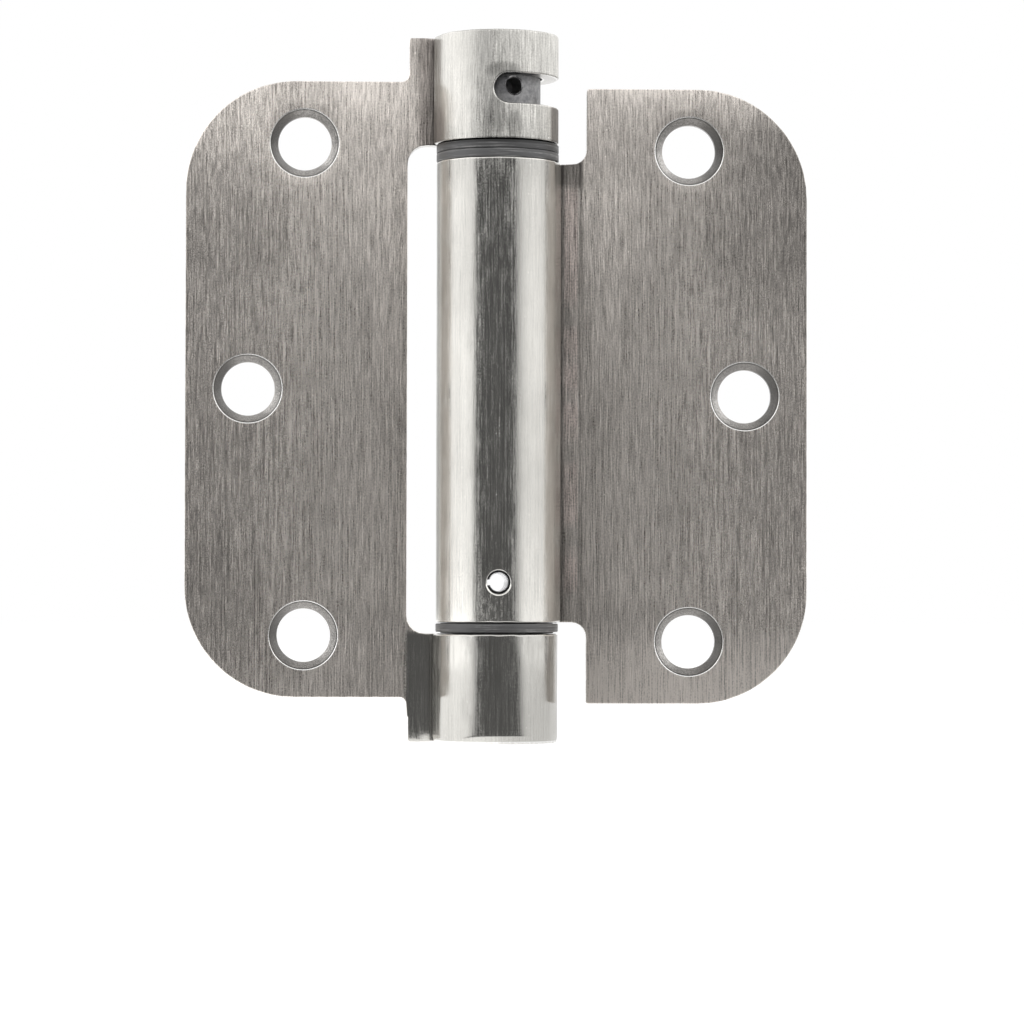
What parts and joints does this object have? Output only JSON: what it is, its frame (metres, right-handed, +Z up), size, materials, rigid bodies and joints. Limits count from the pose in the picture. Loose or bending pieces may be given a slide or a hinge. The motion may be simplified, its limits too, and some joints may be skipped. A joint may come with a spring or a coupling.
{
  "type": "spring loaded door hinge",
  "caption": "Round cornered spring door hinge opened out flat, with a long barrel between end knuckles and a slotted top knuckle for setting its tension.",
  "frame": {"origin": "on the hinge axis, half way up the stack of knuckles", "axes": "+X from the hinge axis towards the barrel leaf, +Y towards the door and the frame behind the leaves, +Z up the hinge axis towards the tension slot"},
  "size_m": [0.0898, 0.0176, 0.1016],
  "materials": {
    "satin_nickel_steel": "satin nickel plate on steel sheet, brushed along the barrel",
    "plug_steel": "matt dark grey turned steel",
    "pin_steel": "plain spring steel",
    "spring_wire": "dark oiled spring wire",
    "washer_plastic": "dark grey moulded plastic"
  },
  "bodies": {
    "knuckle_leaf": {"knuckle_leaf": "satin_nickel_steel", "upper_top_washer": "washer_plastic", "bottom_washer": "washer_plastic"},
    "barrel_leaf": {"barrel_leaf": "satin_nickel_steel", "lower_top_washer": "washer_plastic", "anchor_plug": "plug_steel", "anchor_roll_pin": "pin_steel", "torsion_spring": "spring_wire"},
    "tension_plug": {"tension_plug": "plug_steel"}
  },
  "joints": [
    {"name": "leaf_swing", "type": "hinge", "parent": "knuckle_leaf", "child": "barrel_leaf", "pos_m": [0, 0, 0], "axis": [0, 0, -1], "range_deg": [0, 180]},
    {"name": "tension_winding", "type": "hinge", "parent": "barrel_leaf", "child": "tension_plug", "pos_m": [0, 0, 0.0431], "axis": [0, 0, -1], "range_deg": [0, 270], "stiffness_Nm_per_rad": 0.3, "deforming": ["torsion_spring"]}
  ]
}
